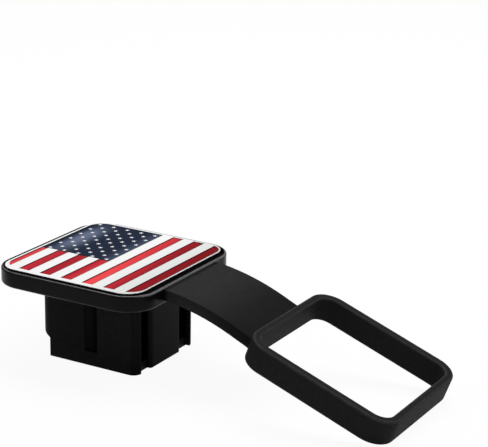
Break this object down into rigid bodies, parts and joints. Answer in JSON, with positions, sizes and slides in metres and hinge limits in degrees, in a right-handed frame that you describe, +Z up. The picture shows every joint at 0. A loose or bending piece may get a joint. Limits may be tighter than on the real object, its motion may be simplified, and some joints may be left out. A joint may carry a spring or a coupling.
{
  "type": "hitch receiver cover",
  "caption": "Rubber cover that plugs an unused tow hitch receiver, with a square head carrying a flag emblem and a strap ending in a collar that stays round the tube.",
  "frame": {"origin": "on the plug's axis, at the plug's lower rim", "axes": "+X from the plug towards the collar, +Z up out of the head's emblem, +Y completes the right-handed frame"},
  "size_m": [0.2009, 0.0852, 0.0454],
  "materials": {
    "rubber": "moulded black rubber, satin on the plug and collar, polished on the head",
    "foam_tape": "dark foam mounting tape",
    "emblem_white": "glossy white printed face",
    "emblem_red": "glossy translucent red over the recess",
    "emblem_blue": "glossy navy",
    "star_white": "glossy white"
  },
  "bodies": {
    "root": {"cover_body": "rubber", "adhesive_pad": "foam_tape", "emblem_plate": "emblem_white", "red_stripes": "emblem_red", "blue_canton": "emblem_blue", "white_stars": "star_white"}
  },
  "joints": []
}
